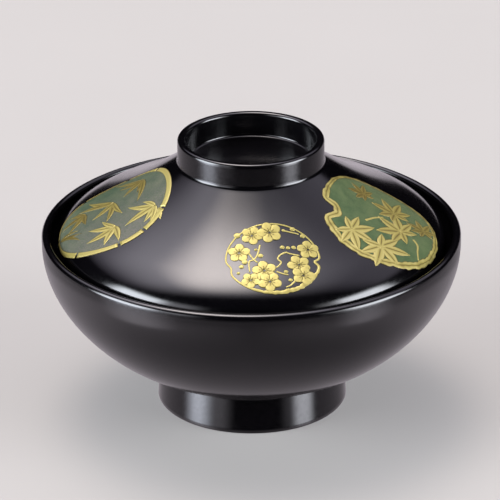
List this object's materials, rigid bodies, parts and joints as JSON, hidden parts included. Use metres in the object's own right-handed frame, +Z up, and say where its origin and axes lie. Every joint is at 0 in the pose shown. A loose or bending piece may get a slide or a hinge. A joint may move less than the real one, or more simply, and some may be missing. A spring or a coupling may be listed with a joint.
{
  "type": "lidded soup bowl",
  "caption": "Round black lacquered soup bowl on a foot ring, with a lift-off conical lid that sits inside the mouth, has a ring-shaped knob and carries gold plant roundels.",
  "frame": {"origin": "centre of the foot ring's underside, on the surface the bowl stands on", "axes": "+Z up along the axis of the bowl and lid; -Y is the side with the plum roundel, +X is to the right of it"},
  "size_m": [0.13, 0.13, 0.0869],
  "materials": {
    "black_lacquer": "polished black lacquer",
    "gold_lacquer": "satin gold lacquer",
    "green_lacquer": "satin green lacquer",
    "grey_green_lacquer": "satin grey-green lacquer"
  },
  "bodies": {
    "bowl": {"bowl": "black_lacquer"},
    "lid": {"lid": "black_lacquer", "bamboo_ground": "grey_green_lacquer", "bamboo_ring": "gold_lacquer", "maple_ground": "green_lacquer", "maple_ring": "gold_lacquer", "plum_ring": "gold_lacquer"}
  },
  "joints": [
    {"name": "lid_lift", "type": "slide", "parent": "bowl", "child": "lid", "axis": [0, 0, 1], "range_m": [0, 0.08]}
  ]
}
